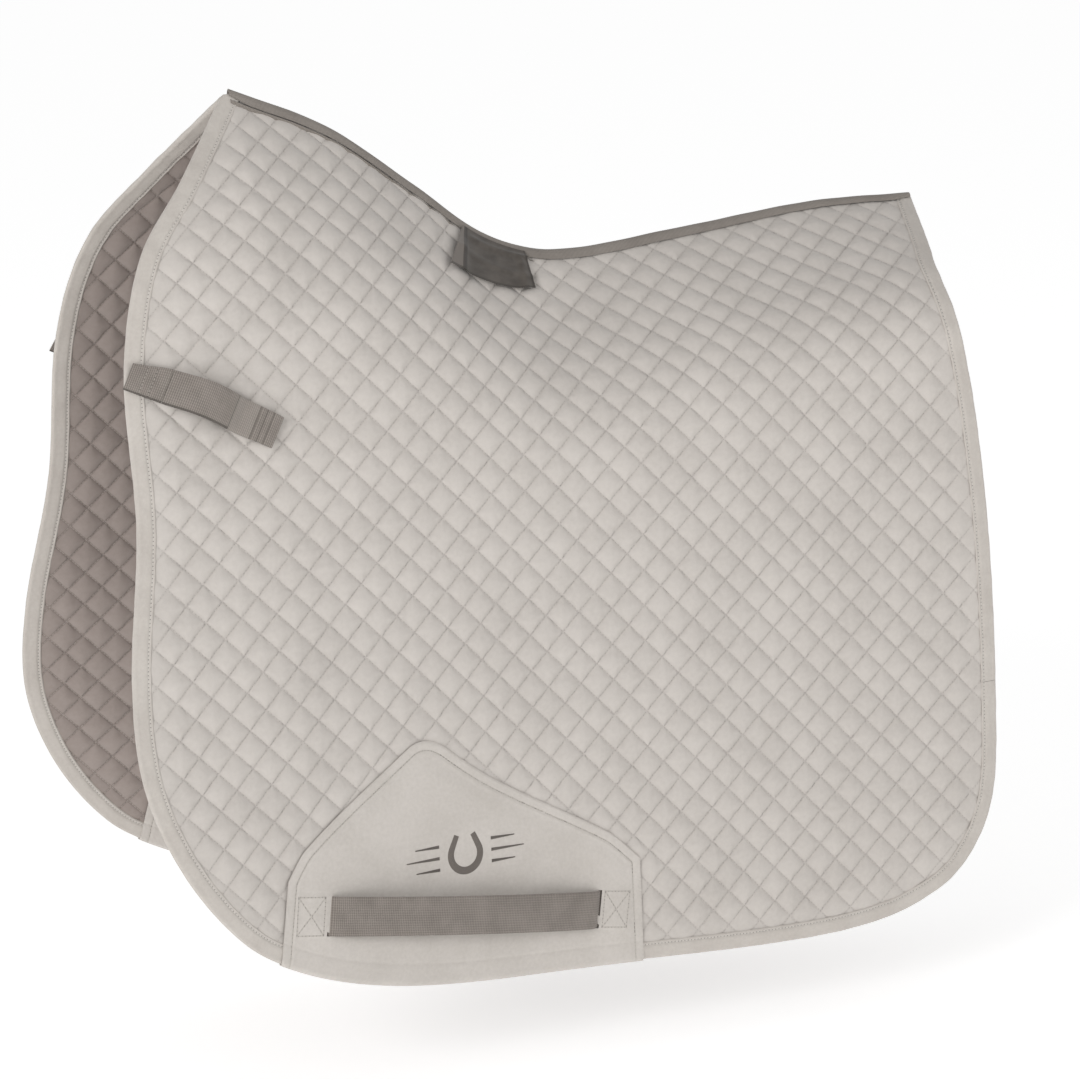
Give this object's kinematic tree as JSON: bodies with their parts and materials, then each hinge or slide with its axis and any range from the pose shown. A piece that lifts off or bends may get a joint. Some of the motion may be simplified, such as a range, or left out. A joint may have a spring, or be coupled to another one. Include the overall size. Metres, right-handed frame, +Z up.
{
  "type": "saddle pad",
  "caption": "Contoured dressage saddle pad: quilted, foam-filled sides joined along a raised spine, bound edges, girth loops and closing billet straps.",
  "frame": {"origin": "under the lowest point of the spine, where the horse's back carries the pad", "axes": "+X along the spine from the withers to the rear, -Y towards the near (left) side, +Z up"},
  "size_m": [0.7509, 0.3838, 0.7035],
  "materials": {
    "quilted_cotton": "quilted cotton twill, matt",
    "wadding": "polyurethane foam wadding, hidden",
    "lining_cloth": "quilted cotton lining, matt",
    "binding_tape": "folded cotton twill tape",
    "patch_cloth": "smooth close-woven cotton",
    "webbing": "ribbed polypropylene webbing",
    "hook_and_loop": "hook and loop tape",
    "spine_tape": "grosgrain tape, satin",
    "label_cloth": "woven satin label, plain"
  },
  "bodies": {
    "spine": {"spine_tape": "spine_tape", "spine_inner_tape": "spine_tape"},
    "label": {"spine_label": "label_cloth"},
    "near_flap": {"near_quilted_shell": "quilted_cotton", "near_foam_filling": "wadding", "near_lining": "lining_cloth", "near_front_binding": "binding_tape", "near_rear_binding": "binding_tape", "near_girth_patch": "patch_cloth", "near_girth_strap": "webbing", "near_billet_strap_sewn_end": "webbing", "near_billet_loop_tape": "hook_and_loop"},
    "near_billet_tab": {"near_billet_strap_tab": "webbing", "near_billet_hook_tape": "hook_and_loop"},
    "off_flap": {"off_quilted_shell": "quilted_cotton", "off_foam_filling": "wadding", "off_lining": "lining_cloth", "off_front_binding": "binding_tape", "off_rear_binding": "binding_tape", "off_girth_patch": "patch_cloth", "off_girth_strap": "webbing", "off_billet_strap_sewn_end": "webbing", "off_billet_loop_tape": "hook_and_loop"},
    "off_billet_tab": {"off_billet_strap_tab": "webbing", "off_billet_hook_tape": "hook_and_loop"}
  },
  "joints": [
    {"name": "near_flap_lift", "type": "hinge", "parent": "spine", "child": "near_flap", "pos_m": [0, -0.066, -0.005], "axis": [-1, 0, 0], "range_deg": [-10, 60], "deforming": ["near_quilted_shell", "near_foam_filling", "near_lining", "near_front_binding", "near_rear_binding"]},
    {"name": "off_flap_lift", "type": "hinge", "parent": "spine", "child": "off_flap", "pos_m": [0, 0.066, -0.005], "axis": [1, 0, 0], "range_deg": [-10, 60], "deforming": ["off_quilted_shell", "off_foam_filling", "off_lining", "off_front_binding", "off_rear_binding"]},
    {"name": "near_billet_tab_peel", "type": "hinge", "parent": "near_flap", "child": "near_billet_tab", "pos_m": [-0.35482, -0.1075, -0.05937], "axis": [-0.3945, -0.1811, -0.9009], "range_deg": [0, 130]},
    {"name": "off_billet_tab_peel", "type": "hinge", "parent": "off_flap", "child": "off_billet_tab", "pos_m": [-0.35482, 0.1075, -0.05937], "axis": [0.3945, -0.1811, 0.9009], "range_deg": [0, 130]},
    {"name": "label_flip", "type": "hinge", "parent": "spine", "child": "label", "pos_m": [-0.06, -0.01134, 0.02857], "axis": [-0.8912, 0.004, 0.4537], "range_deg": [0, 80]}
  ]
}
